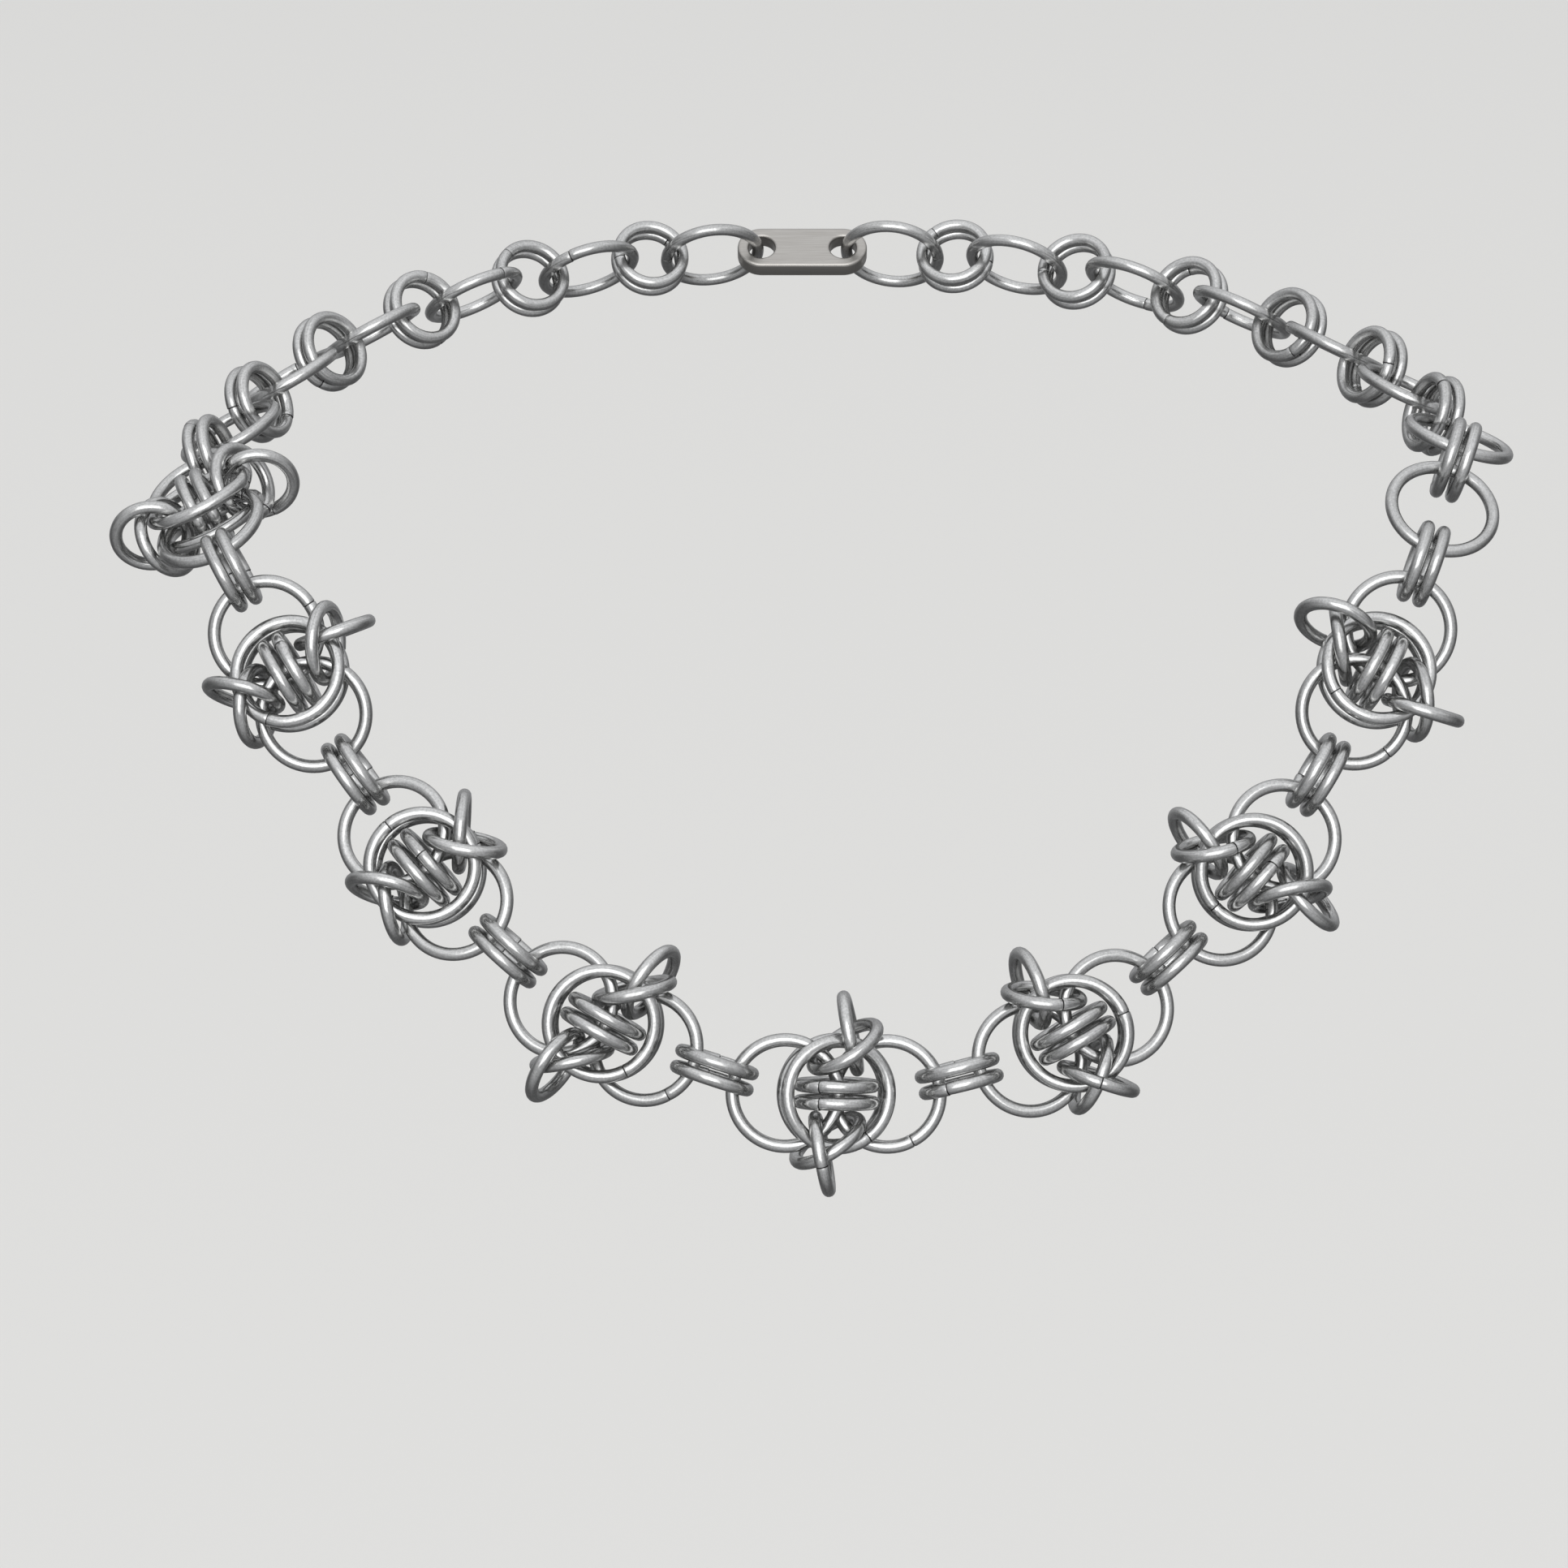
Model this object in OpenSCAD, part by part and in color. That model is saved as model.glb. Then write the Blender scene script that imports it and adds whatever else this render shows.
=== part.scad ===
// Chainmail necklace of butted jump rings: eight rosettes across the front, plain chain behind.
// The frame has X to the wearer's left, Y to the back and Z up. The origin is at the clasp, on
// the nape. "Across", "up" and "back" are measured on the chest, which leans back from upright.

/* [Wire] */
// Diameter of the round wire
wire_d = 1.6; // [1.5:0.05:1.6]
// Width of the saw cut between the two ends of each ring
saw_cut = 0.12; // [0.06:0.02:0.2]

/* [Rings] */
// Inner diameter of a large ring
large_id = 11; // [11:0.1:11.1]
// Inner diameter of a small ring
small_id = 7.2; // [7.2:0.05:7.25]
// Distance between the two small rings of a pair, centre to centre
pair_pitch = 2; // [1.9:0.05:2.1]

/* [Rosettes] */
// Distance of the front cover ring, and of the back one, from the rosette's middle plane
cover_rise = 1.85; // [1.85:0.01:1.9]
// Tilt of the two cover rings about the line across the chain
cover_tilt = 8.9; // [8.8:0.1:9]
// Tilt of the two side rings about the same line, the other way
side_tilt = 8.8; // [8.7:0.1:8.9]

/* [Necklace] */
// Lean of the chest from upright
chest_lean = 20; // [10:1:30]
// Play of the small rings between two large ones
link_play = 0.55; // [0.55:0.05:0.8]
// Slope on which the plain chain lies at the nape
nape_slope = 30; // [20:1:40]

/* [Clasp] */
// Distance between the two rings held in the clasp's eyes
clasp_span = 12; // [12:0.1:12.4]
// Diameter of the eyes
eye_d = 3.6; // [3.5:0.1:3.8]
// Width of the clasp over its rounded ends
clasp_w = 6.6; // [6.4:0.1:7]
// Thickness of the clasp's plate
clasp_t = 2.4; // [2:0.1:2.6]
// Play between an eye and the ring in it at the plate's middle, less at its faces as the ring bends
eye_play = 0.55; // [0.55:0.01:0.65]

/* [Hidden] */
$fn = 40;
// Large rings on each side of the clasp, as far as the shoulder
back_rings = 6;
// Mean radii of the rings
large_r = (large_id + wire_d) / 2;
small_r = (small_id + wire_d) / 2;

// Distance between the wires, at their middles, of two large rings joined by a pair of small ones
rim_gap = 2 * (small_r - wire_d) - link_play;

// Columns of the table of rosettes
HEADING = 0;
PITCH = 1;
SPREAD = 2;
HAND = 3;
UPPER = 4;
LOWER = 5;
LINK_HEADING = 6;
LINK_PITCH = 7;

// The turns of each rosette's chain line in the plane of the chest and back from it, the distance
// between its side rings, its hand, how its upper and lower barbs cross, and the turns of the line
// to the next rosette
rosettes = [
    // heading, pitch, spread, hand, upper, lower, link heading, link pitch
    [-63, -62, 11.8, -1, "open", "open", -61, -10],
    [-59, -9, 11.6, -1, "open", "wide", -55, -4],
    [-48, -10, 11.5, 1, "wide", "other", -42, -3],
    [-29, -5, 11.5, 1, "close", "close", -18, -2],
    [-1, 8, 12.2, 1, "open", "open", 14, 1],
    [30, 3, 11.9, -1, "open", "low", 43, 4],
    [48, 3, 11.4, -1, "open", "high", 60, 13],
    [61, 8, 11.5, 1, "high", "open", 68, 28],
];

// The turns of the line from the first shoulder ring to the second one
shoulder_heading = 68;
shoulder_pitch = 52;

// Axes, on the chest, of the two plain large rings that go over the shoulder
shoulder_axes = [[0.14, 0.55, 0.83], [0.3, 0.9, 0.3]];

// Place, on the chest, of the lowest rosette
lowest = 5;
lowest_place = [3.7, -0.2, 0];
chest_origin = [0, -124.6, -71];

// Columns of the table of barb rings
KIND = 0;
ALONG = 1;
OUT = 2;
FRONT = 3;
LEAN = 4;
FACE = 5;

// The two rings of each kind of crossed pair: centre along the chain, out from the rosette's
// middle and towards the front, lean in the rosette's plane and angle of the ring's axis to it
barb_rings = [
    // kind, along, out, front, lean, face
    ["open", 1.7, 7.1, -0.8, -12, 79],
    ["open", 0.85, 5.6, 0.6, 55, 102],
    ["close", 2.5, 7, -0.75, 5, 75.5],
    ["close", 1.35, 5.3, 0.4, 49, 98.5],
    ["wide", -0.45, 6.1, -0.8, -44, 98],
    ["wide", 1.15, 5.55, 0.6, 55, 106],
    ["other", 0.85, 5.2, -0.8, 53.5, 78],
    ["other", -0.7, 5.5, 0.7, -56.5, 84],
    ["high", 2.35, 6.95, 0.3, -6, 110],
    ["high", 0.85, 5.2, -0.8, 53.5, 78],
    ["low", -0.18, 6.14, -0.84, 41.5, 95],
    ["low", -0.54, 5.3, 0.78, -51, 79.5],
];

// Columns of the table of shown seams
PLACE = 0;
RING = 1;
ANGLE = 2;

// The seams that show at the front, by the number of the rosette or of the link pair. The angle
// goes round the ring. All other seams are turned to the back, or lie under another ring
shown_seams = [
    // place, ring, angle
    [2, "front cover", 230],
    [2, "first side", 87],
    [2, "upper core", 52],
    [3, "front cover", 178],
    [3, "upper core", 97],
    [3, "lower second barb", 325],
    [4, "front cover", 325],
    [4, "next side", 326],
    [5, "front cover", 306],
    [5, "next side", 299],
    [5, "upper core", 123],
    [5, "lower core", 123],
    [5, "lower first barb", 13],
    [5, "lower link", 113],
    [6, "front cover", 187],
    [6, "upper second barb", 203],
    [6, "lower first barb", 0],
    [7, "front cover", 6],
    [7, "lower core", 114],
    [7, "upper second barb", 205],
    [8, "front cover", 148],
    [8, "first side", 247],
];

ROSETTES = [1:len(rosettes)];

function unit(v) = v / norm(v);

// The seam of a ring, at the hidden angle unless it is among those that show
function seam(n, ring, hidden) = let (
        shown = [for (row = shown_seams) if (row[PLACE] == n && row[RING] == ring) row[ANGLE]]
    )
    len(shown) > 0 ? shown[0] : hidden;

// A direction or a point on the chest, given as across, up and towards the front
function chest_direction(v) = [
    v.x,
    v.y * sin(chest_lean) - v.z * cos(chest_lean),
    v.y * cos(chest_lean) + v.z * sin(chest_lean)
];
function chest_point(v) = chest_origin + chest_direction(v);

// A line with a heading in the plane of the chest and a pitch back from it, and its normal
function line_of(heading, pitch) = chest_direction([
    cos(pitch) * cos(heading), cos(pitch) * sin(heading), -sin(pitch)
]);
function chain_line(n) = line_of(rosettes[n - 1][HEADING], rosettes[n - 1][PITCH]);
function link_line(n) = line_of(rosettes[n - 1][LINK_HEADING], rosettes[n - 1][LINK_PITCH]);
function facing(n) = let (row = rosettes[n - 1]) chest_direction([
    sin(row[PITCH]) * cos(row[HEADING]),
    sin(row[PITCH]) * sin(row[HEADING]),
    cos(row[PITCH])
]);

function side_axis(n) = cos(side_tilt) * facing(n)
    - rosettes[n - 1][HAND] * sin(side_tilt) * chain_line(n);

// From a large ring's centre to its rim, as near as it comes to the given line
function reach(axis, line) = large_r * unit(line - (line * axis) * axis);
function link_step(axis, line, next_axis) =
    reach(axis, line) + rim_gap * line + reach(next_axis, line);

// Step from the middle of rosette n to the middle of the next one
function half_spread(n) = rosettes[n - 1][SPREAD] / 2;
function step_from(n) = half_spread(n) * chain_line(n)
    + link_step(side_axis(n), link_line(n), side_axis(n + 1))
    + half_spread(n + 1) * chain_line(n + 1);
function rosette_centre(n) = n == lowest ? chest_point(lowest_place)
    : n > lowest ? rosette_centre(n - 1) + step_from(n - 1)
    : rosette_centre(n + 1) - step_from(n);
// Centre of a side ring: end is -1 for the first one and 1 for the next
function side_centre(n, end) = rosette_centre(n) + end * half_spread(n) * chain_line(n);

// Axis and centre of the two shoulder rings
function shoulder_axis(n) = unit(chest_direction(shoulder_axes[n - 1]));
function shoulder_line() = line_of(shoulder_heading, shoulder_pitch);
function shoulder_centre(n) = side_centre(8, 1)
    + link_step(side_axis(8), link_line(8), shoulder_axis(1))
    + (n - 1) * link_step(shoulder_axis(1), shoulder_line(), shoulder_axis(2));

// The chain behind leaves the clasp straight to the side and runs in an arc to the last large ring
// of the front, at centre end. These are the arc's angle to that ring, its radius, its slope, and
// the angle of its ring k, evenly spaced after the first one, which the clasp holds
function arc_sweep(end) = 2 * atan(norm([end.y, end.z]) / abs(end.x));
function arc_r(end) = abs(end.x) / sin(arc_sweep(end));
function arc_tilt(end) = atan2(-end.z, -end.y);
function arc_first(end) = asin((clasp_span / 2 + large_r) / arc_r(end));
function arc_angle(end, k) =
    arc_first(end) + (k - 1) / back_rings * (arc_sweep(end) - arc_first(end));

// Centre and axis of ring k, on the side of the end ring
function arc_side(end) = [sign(end.x), 0, 0];
function arc_back(end) = [0, cos(arc_tilt(end)), sin(arc_tilt(end))];
function arc_up(end) = [0, -sin(arc_tilt(end)), cos(arc_tilt(end))];
function arc_centre(end, k) = let (a = arc_angle(end, k), r = arc_r(end))
    r * sin(a) * arc_side(end) + r * (cos(a) - 1) * arc_back(end);
// The chain's slope turns evenly from that at the nape to that of the end ring
function arc_out(end, a) = sin(a) * arc_side(end) + cos(a) * arc_back(end);
function end_slope(end, end_axis) =
    atan2(end_axis * arc_up(end), end_axis * arc_out(end, arc_sweep(end)));
function arc_axis(end, end_axis, k) = let (
        a = arc_angle(end, k),
        slope = nape_slope + (end_slope(end, end_axis) - nape_slope) * a / arc_sweep(end)
    )
    cos(slope) * arc_out(end, a) + sin(slope) * arc_up(end);

// One butted ring round the origin, lying flat, with its saw cut at the given angle
module jump_ring(mean_r, seam_angle) {
    cut_angle = saw_cut / mean_r * 180 / PI;
    rotate([0, 0, seam_angle + cut_angle / 2])
        rotate_extrude(angle = 360 - cut_angle)
            translate([mean_r, 0]) circle(d = wire_d);
}

// A ring at a centre, round an axis, with its seam's angle measured from the way ahead
module ring_at(centre, axis, ahead, mean_r, seam_angle) {
    z = unit(axis);
    x = unit(ahead - (ahead * z) * z);
    y = cross(z, x);
    multmatrix([
        [x.x, y.x, z.x, centre.x],
        [x.y, y.y, z.y, centre.y],
        [x.z, y.z, z.z, centre.z]
    ])
        jump_ring(mean_r, seam_angle);
}

// The frame of rosette n: X along the chain, Y to the inner side of the necklace, Z to the front
module at_rosette(n) {
    row = rosettes[n - 1];
    translate(rosette_centre(n))
        rotate([90 - chest_lean, 0, 0])
            rotate([0, 0, row[HEADING]])
                rotate([0, row[PITCH], 0])
                    mirror([row[HAND] < 0 ? 1 : 0, 0, 0])
                        children();
}

// The angle at which a side ring passes under the front cover ring
function under_cover(n, end) = 90 + end * (90 - acos(half_spread(n) / 2 / large_r));

module side_rings(n) {
    color("silver") at_rosette(n)
        for (end = [-1, 1]) {
            ring = end * rosettes[n - 1][HAND] < 0 ? "first side" : "next side";
            translate([end * half_spread(n), 0, 0])
                rotate([0, -side_tilt, 0])
                    jump_ring(large_r, seam(n, ring, under_cover(n, end)));
        }
}

module cover_rings(n) {
    color("gainsboro") at_rosette(n)
        for (side = [-1, 1])
            translate([0, 0, side * cover_rise])
                rotate([0, cover_tilt, 0])
                    jump_ring(large_r, seam(n, side > 0 ? "front cover" : "back cover", 75));
}

module core_pair(n) {
    color("lightgray") at_rosette(n)
        for (side = [-1, 1])
            translate([0, side * pair_pitch / 2, 0])
                rotate([90, 0, 0])
                    jump_ring(small_r, seam(n, side > 0 ? "upper core" : "lower core", 270));
}

// One of the crossed pairs, drawn on the upper side of the rosette, where angle 180 is in front
module barb_pair(kind, n, side, hidden) {
    pair = [for (row = barb_rings) if (row[KIND] == kind) row];
    for (i = [0, 1])
        translate([pair[i][ALONG], pair[i][OUT], pair[i][FRONT]])
            rotate([0, pair[i][FACE], -pair[i][LEAN]])
                jump_ring(small_r, seam(n, str(side, i == 0 ? " first" : " second", " barb"), hidden));
}

// The lower pair is placed through the rosette's middle point, so its angle 0 is in front
module barbs(n) {
    color("darkgray") at_rosette(n) {
        barb_pair(rosettes[n - 1][UPPER], n, "upper", 0);
        mirror([1, 0, 0]) mirror([0, 1, 0]) mirror([0, 0, 1])
            barb_pair(rosettes[n - 1][LOWER], n, "lower", 180);
    }
}

// Two small rings side by side, standing on edge, that join the rims of two large rings. Their
// seams' angles go from the line to the next large ring to the front, or outwards in the chain
module linked_pair(from, from_axis, to, to_axis, seam_angles) {
    start = from + reach(from_axis, unit(to - from));
    end = to - reach(to_axis, unit(to - from));
    side = unit(cross(end - start, from_axis + to_axis));
    for (i = [0, 1])
        ring_at((start + end) / 2 + (i - 0.5) * pair_pitch * side, side, end - start, small_r,
            seam_angles[i]);
}

module link_pair(n) {
    last = len(rosettes);
    seam_angles = [seam(n, "upper link", 270), seam(n, "lower link", 260)];
    color("lightgray")
        if (n < last)
            linked_pair(side_centre(n, 1), side_axis(n), side_centre(n + 1, -1), side_axis(n + 1),
                seam_angles);
        else if (n == last)
            linked_pair(side_centre(last, 1), side_axis(last), shoulder_centre(1),
                shoulder_axis(1), seam_angles);
        else
            linked_pair(shoulder_centre(1), shoulder_axis(1), shoulder_centre(2),
                shoulder_axis(2), seam_angles);
}

// The seam of a plain ring lies inside the pair of small rings next to it
module shoulder_ring(n) {
    color("silver")
        ring_at(shoulder_centre(n), shoulder_axis(n), shoulder_line(), large_r, 5);
}

// One side of the plain chain, from the clasp to the pair that holds the front's last large ring
module back_chain(end, end_axis) {
    centres = concat([for (k = [1:back_rings]) arc_centre(end, k)], [end]);
    axes = concat([for (k = [1:back_rings]) arc_axis(end, end_axis, k)], [end_axis]);
    for (k = [0:back_rings - 1]) {
        ring_at(centres[k], axes[k], centres[k + 1] - centres[k], large_r, 50 * k);
        linked_pair(centres[k], axes[k], centres[k + 1], axes[k + 1], [60 * k, 60 * k + 140]);
    }
}

module back_chain_left() {
    color("silver") back_chain(side_centre(1, -1), side_axis(1));
}

module back_chain_right() {
    color("silver") back_chain(shoulder_centre(2), shoulder_axis(2));
}

// A plain plate on edge with an eye at each end, round the last rings of the two chains
module clasp() {
    eye_x = clasp_span / 2 - (eye_d - wire_d) / 2 + eye_play;
    clasp_tilt = (arc_tilt(side_centre(1, -1)) + arc_tilt(shoulder_centre(2))) / 2;
    color("gray")
        rotate([nape_slope + clasp_tilt, 0, 0])
            translate([0, 0, -clasp_t / 2])
                linear_extrude(clasp_t)
                    difference() {
                        union() {
                            square([2 * eye_x, clasp_w], center = true);
                            for (s = [-1, 1])
                                translate([s * eye_x, 0]) circle(d = clasp_w);
                        }
                        for (s = [-1, 1])
                            translate([s * eye_x, 0]) circle(d = eye_d);
                    }
}

for (n = ROSETTES) {
    side_rings(n);
    cover_rings(n);
    core_pair(n);
    barbs(n);
}
for (n = [1:9])
    link_pair(n);
for (n = [1:2])
    shoulder_ring(n);
back_chain_left();
back_chain_right();
clasp();
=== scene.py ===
"""Chainmail necklace of butted steel jump rings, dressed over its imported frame."""

import math

import bpy
import numpy as np
from mathutils import Matrix, Vector


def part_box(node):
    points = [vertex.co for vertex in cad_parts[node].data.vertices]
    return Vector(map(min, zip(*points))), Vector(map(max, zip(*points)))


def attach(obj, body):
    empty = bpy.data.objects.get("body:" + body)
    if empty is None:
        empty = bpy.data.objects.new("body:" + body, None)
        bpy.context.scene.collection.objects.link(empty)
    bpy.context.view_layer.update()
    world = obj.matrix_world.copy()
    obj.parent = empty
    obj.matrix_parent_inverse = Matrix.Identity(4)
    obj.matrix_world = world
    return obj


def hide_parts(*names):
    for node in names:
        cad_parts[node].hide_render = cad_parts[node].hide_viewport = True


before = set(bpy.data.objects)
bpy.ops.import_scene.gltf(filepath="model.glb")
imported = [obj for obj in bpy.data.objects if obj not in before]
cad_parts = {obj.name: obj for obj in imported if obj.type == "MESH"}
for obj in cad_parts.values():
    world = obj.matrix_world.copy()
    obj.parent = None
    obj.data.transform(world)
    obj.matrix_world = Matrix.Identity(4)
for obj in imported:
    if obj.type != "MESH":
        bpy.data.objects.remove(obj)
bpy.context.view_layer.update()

# Side rings. Two large jump rings lie in line along the chain in each rosette. They are wound
# from drawn stainless wire on a rod, sawn through, and closed by butting their two ends, so a
# fine dark seam crosses each ring.
MM = 0.001
WIRE_D = 1.6 * MM
LARGE_ID = 11 * MM
SMALL_ID = 7.2 * MM
SEAM_GAP = 0.02 * MM
END_ROUNDING = 0.1 * MM
# Pliers leave the ends out of line over the first and the last of six parts of the turn, and
# nip them in close to the seam
ENDS_OUT_OF_LINE = 0.04 * MM
TURN_PARTS = 6
ENDS_NIPPED_IN = 0.03 * MM
NIPPED_LENGTH = 1.4 * MM
# Fineness of a ring's mesh: sections along the wire, steps over each rounded end, the power by
# which they crowd towards its tip, and sides round the wire
SECTIONS_PER_MM = 2.5
TIP_STEPS = 2
TIP_CROWDING = 1.7
SIDES = 16
# A face is a sawn end where its normal lies this much along the wire
SAWN_END = 0.9
# Corners of the CAD's loose triangles that are nearer than this are one point
MERGE_WITHIN = 0.001 * MM


def add(tree, kind, inputs=None, **settings):
    """Adds a node to a tree. Inputs are given by name or number, as a value or another's output."""
    node = tree.nodes.new(kind)
    for name, value in settings.items():
        setattr(node, name, value)
    for socket, value in (inputs or {}).items():
        if isinstance(value, bpy.types.NodeSocket):
            tree.links.new(value, node.inputs[socket])
        else:
            node.inputs[socket].default_value = value
    return node


def new_tree(name, inputs):
    """Starts a Geometry Nodes tree with named inputs, and gives its input and output nodes."""
    tree = bpy.data.node_groups.new(name, "GeometryNodeTree")
    for label, kind in inputs.items():
        tree.interface.new_socket(label, in_out="INPUT", socket_type="NodeSocket" + kind)
    tree.interface.new_socket("Geometry", in_out="OUTPUT", socket_type="NodeSocketGeometry")
    return tree, add(tree, "NodeGroupInput").outputs, add(tree, "NodeGroupOutput").inputs


def plain_mesh(tree, values, source, name):
    """Runs a tree, with its inputs' values, on a mesh and gives the result as a plain mesh."""
    thing = bpy.data.objects.new(name, source)
    bpy.context.scene.collection.objects.link(thing)
    modifier = thing.modifiers.new(tree.name, "NODES")
    modifier.node_group = tree
    for socket in tree.interface.items_tree:
        if socket.name in values:
            modifier[socket.identifier] = values[socket.name]
    evaluated = thing.evaluated_get(bpy.context.evaluated_depsgraph_get())
    mesh = bpy.data.meshes.new_from_object(evaluated)
    bpy.data.objects.remove(thing)
    return mesh


def ring_numbering():
    """Tree that joins the loose triangles of a CAD mesh and numbers its separate rings."""
    tree, given, result = new_tree("ring_numbering", {"Geometry": "Geometry", "Within": "Float"})
    merged = add(tree, "GeometryNodeMergeByDistance",
                 {"Geometry": given["Geometry"], "Distance": given["Within"]})
    island = add(tree, "GeometryNodeInputMeshIsland")
    numbered = add(tree, "GeometryNodeStoreNamedAttribute",
                   {"Geometry": merged.outputs[0], "Name": "ring", "Value": island.outputs[0]},
                   data_type="INT", domain="POINT")
    tree.links.new(numbered.outputs[0], result[0])
    return tree


def column(collection, name, width, kind=np.float64):
    """One property of every item of a mesh as an array."""
    values = np.empty(len(collection) * width, kind)
    collection.foreach_get(name, values)
    return values.reshape(-1, width) if width > 1 else values


def rings_in(node):
    """Reads each ring of a CAD node: its centre, axis, direction of its seam, and outer radius."""
    mesh = plain_mesh(NUMBERING, {"Within": MERGE_WITHIN}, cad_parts[node].data.copy(),
                      node + "_copy")
    points = column(mesh.vertices, "co", 3)
    number = column(mesh.attributes["ring"].data, "value", 1, np.int32)
    face_centre = column(mesh.polygons, "center", 3)
    face_normal = column(mesh.polygons, "normal", 3)
    first_corner = column(mesh.polygons, "loop_start", 1, np.int32)
    face_ring = number[column(mesh.loops, "vertex_index", 1, np.int32)[first_corner]]
    rings = []
    for ring in np.unique(number):
        # The ring lies flat across its two longest directions. A circle fitted to its points
        # there gives its centre, which a mean would pull away from the seam
        mine = points[number == ring]
        middle = mine.mean(axis=0)
        across, upward, axis = np.linalg.svd(mine - middle, full_matrices=False)[2]
        flat = np.stack([(mine - middle) @ across, (mine - middle) @ upward], axis=1)
        circle = np.column_stack([2 * flat, np.ones(len(flat))])
        aside, above, _ = np.linalg.lstsq(circle, (flat ** 2).sum(axis=1), rcond=None)[0]
        centre = middle + aside * across + above * upward
        # The seam is where faces look along the wire
        outward = face_centre[face_ring == ring] - centre
        tangent = np.cross(axis, outward)
        tangent /= np.linalg.norm(tangent, axis=1)[:, None]
        sawn = np.abs((tangent * face_normal[face_ring == ring]).sum(axis=1)) > SAWN_END
        seam = outward[sawn].mean(axis=0)
        outer = np.linalg.norm(flat - (aside, above), axis=1).max()
        rings.append((centre, axis, seam / np.linalg.norm(seam), outer))
    return rings


# Sizes of the wire and its ends, which the tree of one ring and the tree of many share
WIRE_INPUTS = {
    "Wire diameter": "Float", "Seam gap": "Float", "End rounding": "Float", "Out of line": "Float",
    "Nipped in": "Float", "Nipped length": "Float", "Sections per mm": "Float", "Sides": "Int"}


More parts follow.
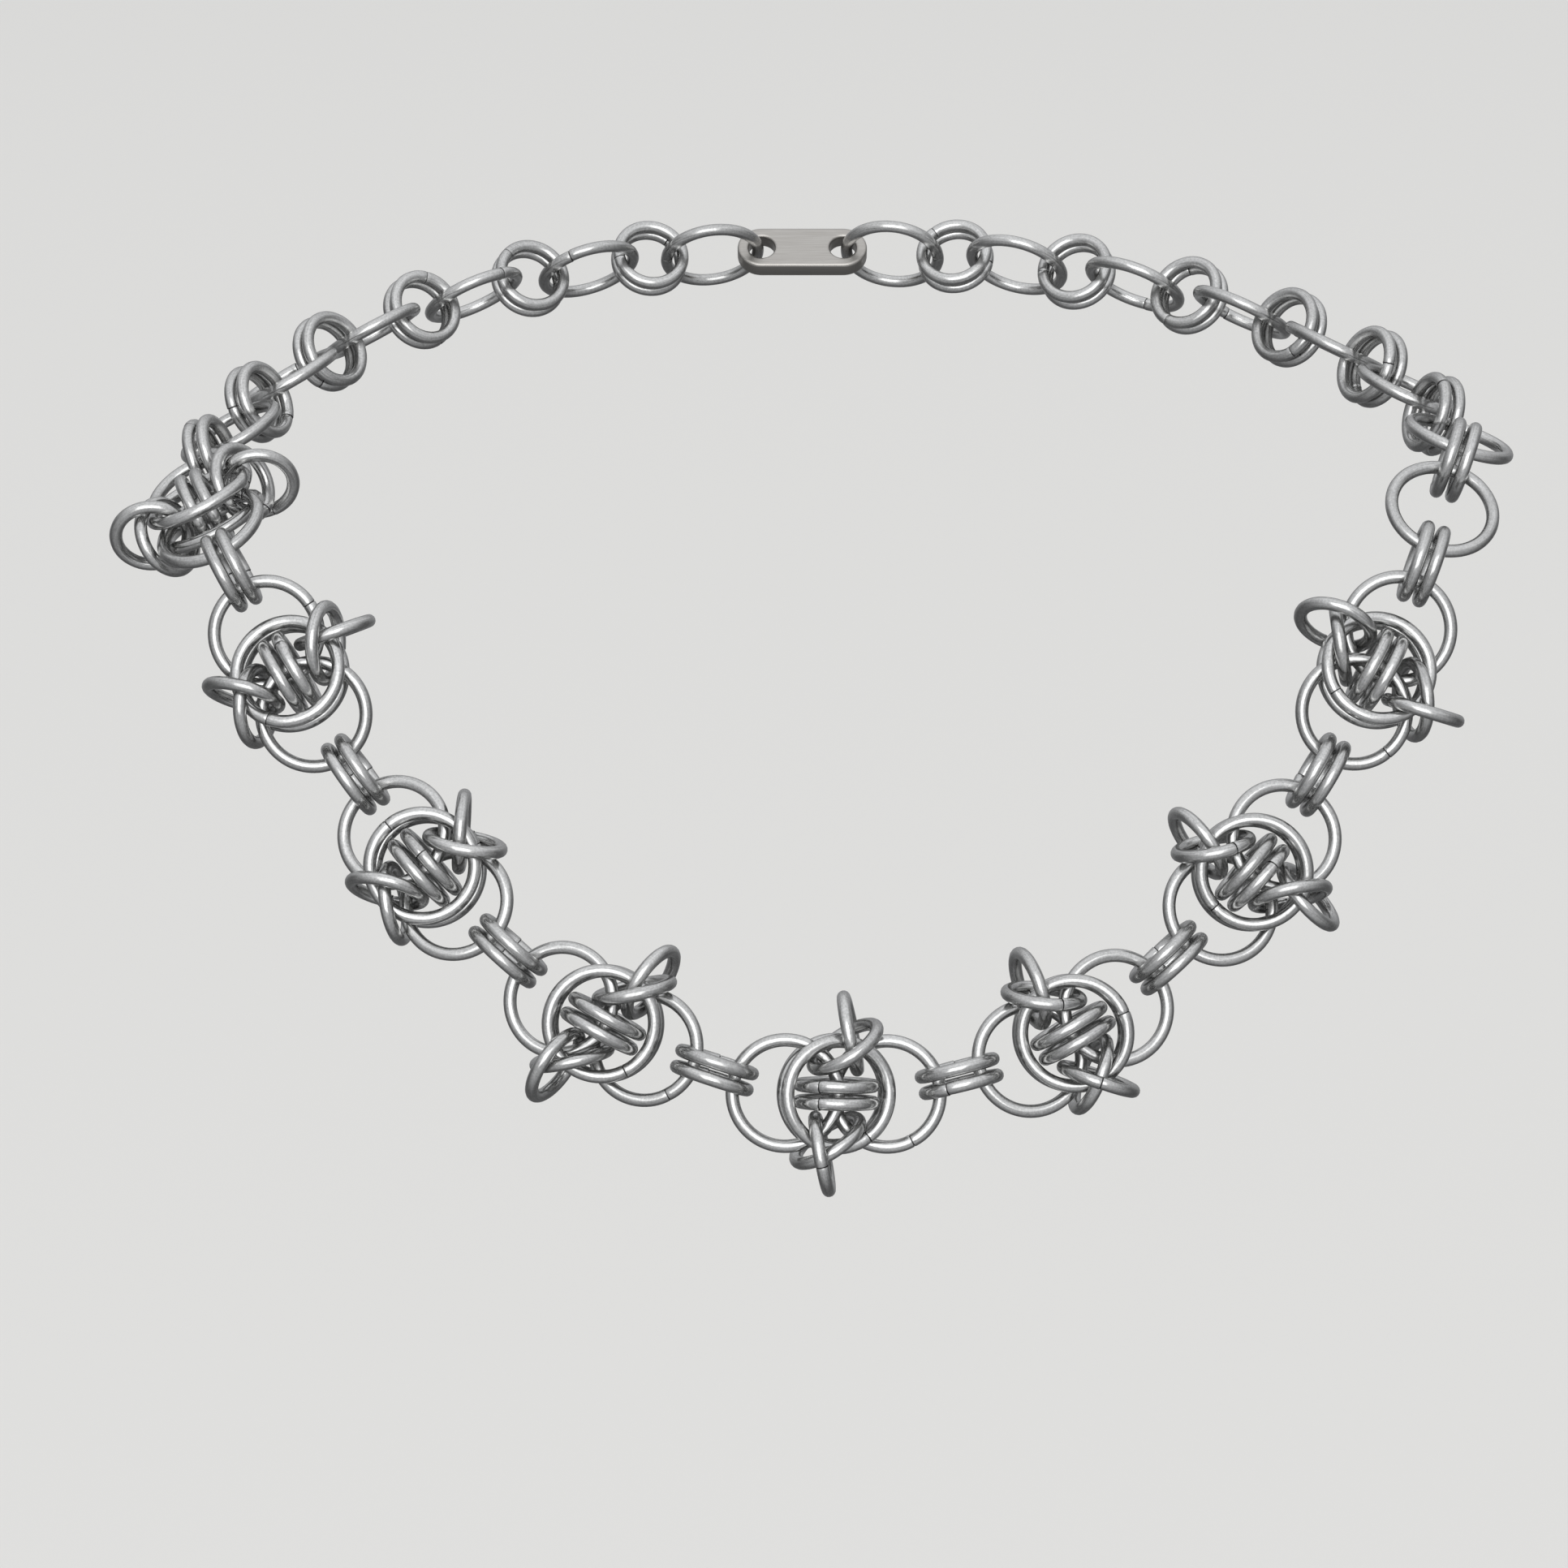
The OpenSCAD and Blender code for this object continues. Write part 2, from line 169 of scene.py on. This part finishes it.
def wound_ring():
    """Tree of one ring: straight drawn wire with rounded ends, bent round the rod."""
    tree, given, result = new_tree("wound_ring", {"Inner diameter": "Float", **WIRE_INPUTS})
    place = add(tree, "GeometryNodeInputPosition").outputs[0]
    at = add(tree, "ShaderNodeSeparateXYZ", {0: place}).outputs
    facing_way = add(tree, "ShaderNodeSeparateXYZ",
                     {0: add(tree, "GeometryNodeInputNormal").outputs[0]}).outputs
    known = {name: given[name] for name in ("Inner diameter", *WIRE_INPUTS)}
    known.update({"index": add(tree, "GeometryNodeInputIndex").outputs[0], "x": at["X"],
                  "y": at["Y"], "z": at["Z"], "facing along": facing_way["X"]})

    # The ring's sums, one node each: what the sum gives, its operation, and what goes into it
    for name, operation, *terms in (
            # Sizes of the straight wire, and the number of sections along it
            ("mean diameter", "ADD", "Inner diameter", "Wire diameter"),
            ("mean radius", "DIVIDE", "mean diameter", 2),
            ("wire radius", "DIVIDE", "Wire diameter", 2),
            ("turn", "MULTIPLY", "mean radius", 2 * math.pi),
            ("length", "SUBTRACT", "turn", "Seam gap"),
            ("turn in mm", "MULTIPLY", "mean radius", 2 * math.pi / MM),
            ("sections", "MULTIPLY", "turn in mm", "Sections per mm"),
            ("sections", "TRUNC", "sections"),
            ("last", "SUBTRACT", "sections", 1),
            # How much of each rounded end lies between a section and that end's tip, 0 to 1
            ("from start", "DIVIDE", "index", TIP_STEPS),
            ("from start", "MINIMUM", "from start", 1),
            ("from start", "POWER", "from start", TIP_CROWDING),
            ("from end", "SUBTRACT", "last", "index"),
            ("from end", "DIVIDE", "from end", TIP_STEPS),
            ("from end", "MINIMUM", "from end", 1),
            ("from end", "POWER", "from end", TIP_CROWDING),
            # A section's place: what is behind it of the even part, and of the rounded ends
            ("even steps", "SUBTRACT", "index", TIP_STEPS),
            ("all even steps", "SUBTRACT", "last", 2 * TIP_STEPS),
            ("even share", "DIVIDE", "even steps", "all even steps"),
            ("even share", "MINIMUM", "even share", 1),
            ("even share", "MAXIMUM", "even share", 0),
            ("both ends", "MULTIPLY", "End rounding", 2),
            ("even length", "SUBTRACT", "length", "both ends"),
            ("even place", "MULTIPLY", "even share", "even length"),
            ("into end", "SUBTRACT", 1, "from end"),
            ("ends behind", "ADD", "from start", "into end"),
            ("end place", "MULTIPLY", "ends behind", "End rounding"),
            ("along", "ADD", "even place", "end place"),
            # The wire thins over its rounded ends as a quarter of a circle
            ("to tip", "MINIMUM", "from start", "from end"),
            ("to tip", "SUBTRACT", 1, "to tip"),
            ("rise", "MULTIPLY", "to tip", "to tip"),
            ("rise", "SUBTRACT", 1, "rise"),
            ("rise", "SQRT", "rise"),
            ("drop", "SUBTRACT", 1, "rise"),
            ("drop", "MULTIPLY", "drop", "End rounding"),
            ("thickness", "SUBTRACT", "wire radius", "drop"),
            # Painted shade on the rounded ends, darkest at the tips, which stands in for the shade
            # that fills the narrow sawn seam
            ("far end", "SUBTRACT", "length", "x"),
            ("nearest end", "MINIMUM", "x", "far end"),
            ("painted_seam_shade", "DIVIDE", "nearest end", "End rounding"),
            ("painted_seam_shade", "SUBTRACT", 1, "painted_seam_shade"),
            ("painted_seam_shade", "MAXIMUM", "painted_seam_shade", 0),
            # The wire goes round the rod, starting half a gap from the seam
            ("half gap", "DIVIDE", "Seam gap", 2),
            ("round", "ADD", "x", "half gap"),
            ("angle", "DIVIDE", "round", "mean radius"),
            ("cosine", "COSINE", "angle"),
            ("sine", "SINE", "angle"),
            # Its ends are nipped in
            ("nip at start", "DIVIDE", "x", "Nipped length"),
            ("nip at start", "SUBTRACT", 1, "nip at start"),
            ("nip at start", "MAXIMUM", "nip at start", 0),
            ("nip at start", "POWER", "nip at start", 2),
            ("nip at end", "DIVIDE", "far end", "Nipped length"),
            ("nip at end", "SUBTRACT", 1, "nip at end"),
            ("nip at end", "MAXIMUM", "nip at end", 0),
            ("nip at end", "POWER", "nip at end", 2),
            ("nip", "ADD", "nip at start", "nip at end"),
            ("nip", "MULTIPLY", "nip", "Nipped in"),
            ("out", "ADD", "y", "mean radius"),
            ("out", "SUBTRACT", "out", "nip"),
            ("bent x", "MULTIPLY", "out", "cosine"),
            ("bent y", "MULTIPLY", "out", "sine"),
            # And they stand out of line, one to each side
            ("turned", "DIVIDE", "x", "length"),
            ("turned", "MULTIPLY", "turned", TURN_PARTS),
            ("lift at start", "SUBTRACT", 1, "turned"),
            ("lift at start", "MAXIMUM", "lift at start", 0),
            ("lift at start", "POWER", "lift at start", 2),
            ("lift at end", "SUBTRACT", "turned", TURN_PARTS - 1),
            ("lift at end", "MAXIMUM", "lift at end", 0),
            ("lift at end", "POWER", "lift at end", 2),
            ("lift", "SUBTRACT", "lift at start", "lift at end"),
            ("lift", "MULTIPLY", "lift", "Out of line"),
            ("bent z", "ADD", "z", "lift"),
            # The sawn faces at the tips are flat, and the rest is smooth
            ("facing along", "ABSOLUTE", "facing along"),
            ("sawn", "GREATER_THAN", "facing along", SAWN_END)):
        known[name] = add(tree, "ShaderNodeMath",
                          {i: known.get(term, term) for i, term in enumerate(terms)},
                          operation=operation).outputs[0]

    line = add(tree, "GeometryNodeCurvePrimitiveLine", {"End": (1, 0, 0)})
    dotted = add(tree, "GeometryNodeResampleCurve",
                 {"Curve": line.outputs[0], "Count": known["sections"]})
    spaced = add(tree, "GeometryNodeSetPosition", {
        "Geometry": dotted.outputs[0],
        "Position": add(tree, "ShaderNodeCombineXYZ", {"X": known["along"]}).outputs[0]})
    section = add(tree, "GeometryNodeCurvePrimitiveCircle",
                  {"Resolution": given["Sides"], "Radius": 1.0})
    straight = add(tree, "GeometryNodeCurveToMesh", {
        "Curve": spaced.outputs[0], "Profile Curve": section.outputs[0],
        "Scale": known["thickness"], "Fill Caps": True})
    drawn = add(tree, "GeometryNodeStoreNamedAttribute", {
        "Geometry": straight.outputs[0], "Name": "drawn", "Value": place},
        data_type="FLOAT_VECTOR", domain="POINT")
    # The painted seam shade goes with the ring, for the steel to darken its rounded ends with
    seam_shaded = add(tree, "GeometryNodeStoreNamedAttribute", {
        "Geometry": drawn.outputs[0], "Name": "painted_seam_shade", "Value": known["painted_seam_shade"]},
        data_type="FLOAT", domain="POINT")
    smooth = add(tree, "GeometryNodeSetShadeSmooth", {
        "Geometry": seam_shaded.outputs[0], "Selection": known["sawn"], "Shade Smooth": False},
        domain="FACE")
    bent = add(tree, "ShaderNodeCombineXYZ",
               {"X": known["bent x"], "Y": known["bent y"], "Z": known["bent z"]})
    wound = add(tree, "GeometryNodeSetPosition",
                {"Geometry": smooth.outputs[0], "Position": bent.outputs[0]})
    tree.links.new(wound.outputs[0], result[0])
    return tree


def rings_on_points():
    """Tree that puts a large or a small ring on each point, turned as its axis and seam say."""
    tree, given, result = new_tree("rings_on_points", {
        "Geometry": "Geometry", "Large inner": "Float", "Small inner": "Float", **WIRE_INPUTS,
        "Seed": "Int", "Steel": "Material"})
    # Output 1 of a random value is its plain number
    random_tone = add(tree, "FunctionNodeRandomValue", {"Seed": given["Seed"]}, data_type="FLOAT")
    toned = add(tree, "GeometryNodeStoreNamedAttribute", {
        "Geometry": given["Geometry"], "Name": "tone", "Value": random_tone.outputs[1]},
        data_type="FLOAT", domain="POINT")
    axis, seam, is_small = (
        add(tree, "GeometryNodeInputNamedAttribute", {"Name": name}, data_type=kind).outputs[0]
        for name, kind in (
            ("axis", "FLOAT_VECTOR"), ("seam", "FLOAT_VECTOR"), ("small", "BOOLEAN")))
    turned = add(tree, "FunctionNodeAxesToRotation", {
        "Primary Axis": axis, "Secondary Axis": seam}, primary_axis="Z", secondary_axis="X")
    is_large = add(tree, "FunctionNodeBooleanMath", {0: is_small}, operation="NOT").outputs[0]
    together = add(tree, "GeometryNodeJoinGeometry")
    for inner, chosen in (("Large inner", is_large), ("Small inner", is_small)):
        ring = add(tree, "GeometryNodeGroup", {
            "Inner diameter": given[inner], **{size: given[size] for size in WIRE_INPUTS}},
            node_tree=WOUND_RING)
        placed = add(tree, "GeometryNodeInstanceOnPoints", {
            "Points": toned.outputs[0], "Selection": chosen, "Instance": ring.outputs[0],
            "Rotation": turned.outputs[0]})
        tree.links.new(placed.outputs[0], together.inputs[0])
    real = add(tree, "GeometryNodeRealizeInstances", {"Geometry": together.outputs[0]})
    steel = add(tree, "GeometryNodeSetMaterial",
                {"Geometry": real.outputs[0], "Material": given["Steel"]})
    tree.links.new(steel.outputs[0], result[0])
    return tree


def linear(hex_colour):
    """An sRGB hex colour as linear red, green, blue and alpha."""
    parts = [int(hex_colour[i:i + 2], 16) / 255 for i in (1, 3, 5)]
    return [p / 12.92 if p <= 0.04045 else ((p + 0.055) / 1.055) ** 2.4 for p in parts] + [1]


def drawn_stainless_wire():
    """Stainless steel wire, drawn through a die and tumbled after the rings were cut.

    Drawing leaves faint streaks along the wire, and tumbling softens the shine and scatters fine
    scuffs over it. The real marks are a few hundredths of a millimetre wide, so they are drawn
    here 0.2 to 0.3 mm wide, as coarse as they need to be to show.
    """
    streak_width, streak_length = 0.22 * MM, 4 * MM
    scuff_size, mark_depth = 0.3 * MM, 0.02 * MM
    cloud_size = 9 * scuff_size
    steel = bpy.data.materials.new("drawn_stainless_wire")
    steel.use_nodes = True
    tree = steel.node_tree
    tree.nodes.clear()
    wire = add(tree, "ShaderNodeAttribute", attribute_name="drawn", attribute_type="GEOMETRY")
    tone = add(tree, "ShaderNodeAttribute", attribute_name="tone", attribute_type="GEOMETRY")
    # Each ring comes from another stretch of the wire
    stretch = add(tree, "ShaderNodeVectorMath", {
        0: wire.outputs["Vector"],
        1: add(tree, "ShaderNodeCombineXYZ", {"X": tone.outputs["Fac"]}).outputs[0]},
        operation="ADD")
    squeezed = add(tree, "ShaderNodeMapping", {
        "Vector": stretch.outputs[0],
        "Scale": (1 / streak_length, 1 / streak_width, 1 / streak_width)})
    streaks = add(tree, "ShaderNodeTexNoise", {
        "Vector": squeezed.outputs[0], "Scale": 1.0, "Detail": 3.0, "Roughness": 0.6})
    place = add(tree, "ShaderNodeTexCoord")
    scuffs = add(tree, "ShaderNodeTexNoise", {
        "Vector": place.outputs["Object"], "Scale": 1 / scuff_size, "Detail": 4.0,
        "Roughness": 0.65})
    clouds = add(tree, "ShaderNodeTexNoise", {
        "Vector": place.outputs["Object"], "Scale": 1 / cloud_size, "Detail": 2.0})
    marks = add(tree, "ShaderNodeMix", {
        "Factor": 0.5, "A": streaks.outputs["Fac"], "B": scuffs.outputs["Fac"]}, data_type="FLOAT")
    # Brighter on the rubbed crests, a little darker in the marks
    colour = add(tree, "ShaderNodeMix", {
        "Factor": add(tree, "ShaderNodeMapRange", {
            "Value": marks.outputs[0], "From Min": 0.35, "From Max": 0.62}).outputs[0],
        "A": linear("#b0b0af"), "B": linear("#d8d8d7")}, data_type="RGBA")
    # No two rings are quite of one tone
    shade = add(tree, "ShaderNodeMapRange", {
        "Value": tone.outputs["Fac"], "To Min": 0.86, "To Max": 1.0})
    toned = add(tree, "ShaderNodeMix", {
        "Factor": 1.0, "A": colour.outputs["Result"], "B": shade.outputs[0]},
        data_type="RGBA", blend_type="MULTIPLY")
    # Painted shade: the rounded ends at each seam are mixed towards near-black, standing in for the
    # shade inside the narrow seam
    painted_seam_shade = add(tree, "ShaderNodeAttribute", attribute_name="painted_seam_shade",
                   attribute_type="GEOMETRY")
    seam_shaded = add(tree, "ShaderNodeMix", {
        "Factor": painted_seam_shade.outputs["Fac"], "A": toned.outputs["Result"], "B": linear("#1d1b19")},
        data_type="RGBA")
    # The tumbled shine is duller in some patches than in others
    rough = add(tree, "ShaderNodeMapRange", {
        "Value": add(tree, "ShaderNodeMath", {
            0: marks.outputs[0], 1: clouds.outputs["Fac"]}, operation="ADD").outputs[0],
        "From Min": 0.7, "From Max": 1.3, "To Min": 0.28, "To Max": 0.17})
    bump = add(tree, "ShaderNodeBump", {
        "Height": marks.outputs[0], "Strength": 0.15, "Distance": mark_depth})
    shader = add(tree, "ShaderNodeBsdfPrincipled", {
        "Base Color": seam_shaded.outputs["Result"], "Metallic": 1.0,
        "Roughness": rough.outputs[0], "Normal": bump.outputs[0]})
    add(tree, "ShaderNodeOutputMaterial", {"Surface": shader.outputs[0]})
    return steel


def place_rings(name, node, seed):
    """Puts a well finished ring on each ring of a CAD node, and shows it in the node's place.

    The seed gives the node's rings tones of their own.
    """
    centres, axes, seams, outers = zip(*rings_in(node))
    points = bpy.data.meshes.new(name + "_points")
    points.from_pydata([list(centre) for centre in centres], [], [])
    for label, ways in (("axis", axes), ("seam", seams)):
        attribute = points.attributes.new(label, "FLOAT_VECTOR", "POINT")
        attribute.data.foreach_set("vector", np.concatenate(ways))
    # A ring is small if its outer radius is under the middle one of the two sizes
    halfway = (LARGE_ID + SMALL_ID) / 4 + WIRE_D
    small = points.attributes.new("small", "BOOLEAN", "POINT")
    small.data.foreach_set("value", [bool(outer < halfway) for outer in outers])
    mesh = plain_mesh(RINGS, {
        "Wire diameter": WIRE_D, "Large inner": LARGE_ID, "Small inner": SMALL_ID,
        "Seam gap": SEAM_GAP, "End rounding": END_ROUNDING, "Out of line": ENDS_OUT_OF_LINE,
        "Nipped in": ENDS_NIPPED_IN, "Nipped length": NIPPED_LENGTH,
        "Sections per mm": SECTIONS_PER_MM, "Sides": SIDES, "Seed": seed, "Steel": STEEL_WIRE},
        points, name)
    piece = bpy.data.objects.new(name, mesh)
    bpy.context.scene.collection.objects.link(piece)
    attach(piece, "root")
    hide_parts(node)


NUMBERING = ring_numbering()
WOUND_RING = wound_ring()
RINGS = rings_on_points()
STEEL_WIRE = drawn_stainless_wire()
ROSETTES = range(1, 9)

for n in ROSETTES:
    place_rings(f"side_rings_{n}", f"rosette_{n}_side_rings", n)

# Cover rings. Two more large rings of the same wire sandwich the two side rings of a rosette,
# one in front and one behind, and show as the rosette's round eye.
for n in ROSETTES:
    place_rings(f"cover_rings_{n}", f"rosette_{n}_cover_rings", 20 + n)

# Core pair. Two small rings stand on edge side by side in the middle of the rosette, where they
# hold the overlap of the two side rings together. They are of the same wire, wound tighter.
for n in ROSETTES:
    place_rings(f"core_pair_{n}", f"rosette_{n}_core_pair", 40 + n)

# Barbs. Two pairs of small rings, one on each side of a rosette, cross through each other and
# clip the two cover rings to a side ring. They stick out like spikes.
for n in ROSETTES:
    place_rings(f"barbs_{n}", f"rosette_{n}_barbs", 60 + n)

# Link pairs. Two small rings side by side join each rosette to the next. Pair 8 joins the last
# rosette to the first shoulder ring, and pair 9 the two shoulder rings to each other.
LINK_PAIRS = range(1, 10)
for n in LINK_PAIRS:
    place_rings(f"link_pair_of_rings_{n}", f"link_pair_{n}", 80 + n)

# Shoulder rings. Two plain large rings of the same wire go over the right shoulder, where the
# front ends and the plain chain begins.
SHOULDER_RINGS = (1, 2)
for n in SHOULDER_RINGS:
    place_rings(f"plain_ring_{n}", f"shoulder_ring_{n}", 90 + n)

# Plain chain. From the shoulders to the clasp, single large rings are joined by pairs of small
# ones, of the same wire and closed the same way.
for side, seed in (("left", 101), ("right", 102)):
    place_rings(f"plain_chain_{side}", f"back_chain_{side}", seed)

# Clasp. A plain plate of stainless sheet with an eye at each end, pressed out and deburred, so
# that its edges are rounded. The last large ring of each chain is butted shut through an eye.
CLASP_W = 6.6 * MM
CLASP_T = 2.4 * MM
EYE_D = 3.6 * MM
CLASP_EDGE = 0.4 * MM
# Steps round half of the plate's outline at each end, round a whole eye, and over an edge
END_STEPS = 32
EYE_STEPS = 48
EDGE_STEPS = 4


def satin_stainless_plate():
    """Stainless sheet with a satin finish from a fine belt, which leaves short even scratches.

    The real scratches are much finer, so they are drawn as coarse as they need to be to show.
    """
    grit_line, grit_length, scratch_depth = 0.12 * MM, 5 * MM, 0.02 * MM
    plate = bpy.data.materials.new("satin_stainless_plate")
    plate.use_nodes = True
    tree = plate.node_tree
    tree.nodes.clear()
    place = add(tree, "ShaderNodeTexCoord")
    squeezed = add(tree, "ShaderNodeMapping", {
        "Vector": place.outputs["Object"],
        "Scale": (1 / grit_length, 1 / grit_line, 1 / grit_line)})
    scratches = add(tree, "ShaderNodeTexNoise", {
        "Vector": squeezed.outputs[0], "Scale": 1.0, "Detail": 3.0, "Roughness": 0.6})
    colour = add(tree, "ShaderNodeMix", {
        "Factor": scratches.outputs["Fac"], "A": linear("#9c9893"), "B": linear("#c4c2be")},
        data_type="RGBA")
    rough = add(tree, "ShaderNodeMapRange", {
        "Value": scratches.outputs["Fac"], "To Min": 0.42, "To Max": 0.28})
    bump = add(tree, "ShaderNodeBump", {
        "Height": scratches.outputs["Fac"], "Strength": 0.3, "Distance": scratch_depth})
    shader = add(tree, "ShaderNodeBsdfPrincipled", {
        "Base Color": colour.outputs["Result"], "Metallic": 1.0,
        "Roughness": rough.outputs[0], "Normal": bump.outputs[0]})
    add(tree, "ShaderNodeOutputMaterial", {"Surface": shader.outputs[0]})
    return plate


def clasp_plate():
    """The plate's outline and eyes as a flat curve with a rounded edge, turned as the CAD's."""
    # The CAD's plate is longest along its two eyes and shortest through its thickness
    points = column(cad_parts["clasp"].data.vertices, "co", 3)
    middle = (points.min(axis=0) + points.max(axis=0)) / 2
    sideways, _, upright = np.linalg.svd(points - middle, full_matrices=False)[2]
    half_length = np.abs((points - middle) @ sideways).max()
    eye_x = half_length - CLASP_W / 2
    curve = bpy.data.curves.new("clasp_outline", "CURVE")
    curve.dimensions = "2D"
    curve.fill_mode = "BOTH"
    curve.extrude = CLASP_T / 2 - CLASP_EDGE
    curve.bevel_depth = CLASP_EDGE
    curve.bevel_resolution = EDGE_STEPS
    curve.offset = -CLASP_EDGE

    def loop(corners):
        spline = curve.splines.new("POLY")
        spline.points.add(len(corners) - 1)
        spline.points.foreach_set("co", [v for x, y in corners for v in (x, y, 0, 1)])
        spline.use_cyclic_u = True

    def arc(x, radius, start, end, steps):
        angles = [start + (end - start) * i / steps for i in range(steps + 1)]
        return [(x + radius * math.cos(a), radius * math.sin(a)) for a in angles]

    quarter = math.pi / 2
    loop(arc(eye_x, CLASP_W / 2, -quarter, quarter, END_STEPS)
         + arc(-eye_x, CLASP_W / 2, quarter, 3 * quarter, END_STEPS))
    # An eye's last step closes the loop by itself
    drawn = EYE_STEPS - 1
    for x in (-eye_x, eye_x):
        loop(arc(x, EYE_D / 2, 0, 4 * quarter * drawn / EYE_STEPS, drawn))
    flat = bpy.data.objects.new("clasp_outline", curve)
    bpy.context.scene.collection.objects.link(flat)
    mesh = bpy.data.meshes.new_from_object(
        flat.evaluated_get(bpy.context.evaluated_depsgraph_get()))
    bpy.data.objects.remove(flat)
    forward = np.cross(upright, sideways)
    turn = Matrix(np.array([sideways, forward, upright]).T.tolist()).to_4x4()
    mesh.transform(Matrix.Translation(Vector(middle)) @ turn)
    return mesh


clasp = bpy.data.objects.new("clasp_plate", clasp_plate())
bpy.context.scene.collection.objects.link(clasp)
clasp.data.materials.clear()
clasp.data.materials.append(satin_stainless_plate())
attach(clasp, "root")
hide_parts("clasp")

# Studio. A plain pale floor well below the necklace, which hangs from the nape, a soft box near
# the camera, one far overhead for the floor alone, and a softly lit room. The camera is square
# to the chest, so it looks down by the chest's lean.
CHEST_LEAN = math.radians(20)
# The CAD's origin on the chest, and the middle of the view measured from it
CHEST = Vector((0, -124.6, -71)) * MM
VIEW_CENTRE = Vector((-2.5, 36.5, 0)) * MM
CAMERA_DISTANCE = 600 * MM
VIEW_WIDTH = 185.9 * MM
FLOOR_BELOW = 320 * MM
FLOOR_REACH = 6


def on_chest(across, up, front):
    """A point in front of the chest, given from the chest's own origin, in metres."""
    return CHEST + Vector((
        across,
        up * math.sin(CHEST_LEAN) - front * math.cos(CHEST_LEAN),
        up * math.cos(CHEST_LEAN) + front * math.sin(CHEST_LEAN)))


def facing(thing, target):
    """Turns a camera or a lamp to look at a point."""
    thing.rotation_euler = (target - thing.location).to_track_quat("-Z", "Y").to_euler()


def soft_light(name, place, target, size, power):
    """A square soft box of a size in metres and a power in watts."""
    lamp = bpy.data.lights.new(name, "AREA")
    lamp.size = size
    lamp.energy = power
    thing = bpy.data.objects.new(name, lamp)
    thing.location = place
    facing(thing, target)
    bpy.context.scene.collection.objects.link(thing)
    return thing


view_centre = on_chest(*VIEW_CENTRE)
camera = bpy.data.cameras.new("camera")
camera.sensor_width = 36
camera.lens = camera.sensor_width * CAMERA_DISTANCE / VIEW_WIDTH
camera.clip_start = 0.01
eye = bpy.data.objects.new("camera", camera)
eye.location = on_chest(VIEW_CENTRE.x, VIEW_CENTRE.y, CAMERA_DISTANCE)
facing(eye, view_centre)
bpy.context.scene.collection.objects.link(eye)
bpy.context.scene.camera = eye

soft_light("front_box", on_chest(across=-0.05, up=0.14, front=0.9), view_centre,
           size=0.8, power=3.1)
floor_light = soft_light("top_box", Vector((0, 1.2, 3)), Vector((0, 1.2, 0)), size=3, power=26)
# Neither this lamp nor the floor shows in the steel, which keeps its shaded side dark
floor_light.visible_glossy = False

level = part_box("rosette_5_side_rings")[0].z - FLOOR_BELOW
floor_mesh = bpy.data.meshes.new("floor")
floor_mesh.from_pydata([(x * FLOOR_REACH, y * FLOOR_REACH, level)
                        for x, y in ((-1, -1), (1, -1), (1, 1), (-1, 1))], [], [(0, 1, 2, 3)])
floor = bpy.data.objects.new("floor", floor_mesh)
floor.visible_glossy = False
# Matt background paper, with hardly any shine
paper = bpy.data.materials.new("pale_paper")
paper.use_nodes = True
paper_shader = paper.node_tree.nodes["Principled BSDF"].inputs
paper_shader["Base Color"].default_value = linear("#d9d8d5")
paper_shader["Roughness"].default_value = 0.9
floor_mesh.materials.append(paper)
bpy.context.scene.collection.objects.link(floor)

# The room glows in front of the chest, behind the nape and overhead, and is dim at the sides and
# below, so that the wire is shaded round its thickness. The camera sees a plain pale wall
ROOM_DIM = 0.15
WALL_BRIGHTNESS = 0.7
ROOM_GLOWS = (
    # The way to a glow, its strength, and the cosine from that way at which it starts
    ((0, -0.94, 0.34), 0.56, -0.4),
    ((0, 0.87, 0.5), 0.3, 0.1),
    ((0, 0, 1), 0.6, 0.0))
world = bpy.data.worlds.new("studio")
world.use_nodes = True
room = world.node_tree
room.nodes.clear()
outward = add(room, "ShaderNodeTexCoord").outputs["Generated"]
glow = ROOM_DIM
for way, strength, start in ROOM_GLOWS:
    cosine = add(room, "ShaderNodeVectorMath", {0: outward, 1: way}, operation="DOT_PRODUCT")
    lobe = add(room, "ShaderNodeMapRange", {
        "Value": cosine.outputs["Value"], "From Min": start, "From Max": 1.0,
        "To Max": strength}, interpolation_type="SMOOTHSTEP")
    glow = add(room, "ShaderNodeMath", {0: glow, 1: lobe.outputs[0]}, operation="ADD").outputs[0]
seen = add(room, "ShaderNodeLightPath").outputs["Is Camera Ray"]
brightness = add(room, "ShaderNodeMix", {
    "Factor": seen, "A": glow, "B": WALL_BRIGHTNESS}, data_type="FLOAT")
background = add(room, "ShaderNodeBackground", {
    "Color": linear("#f2f3f5"), "Strength": brightness.outputs[0]})
add(room, "ShaderNodeOutputWorld", {"Surface": background.outputs[0]})
bpy.context.scene.world = world
bpy.context.scene.view_settings.view_transform = "Standard"
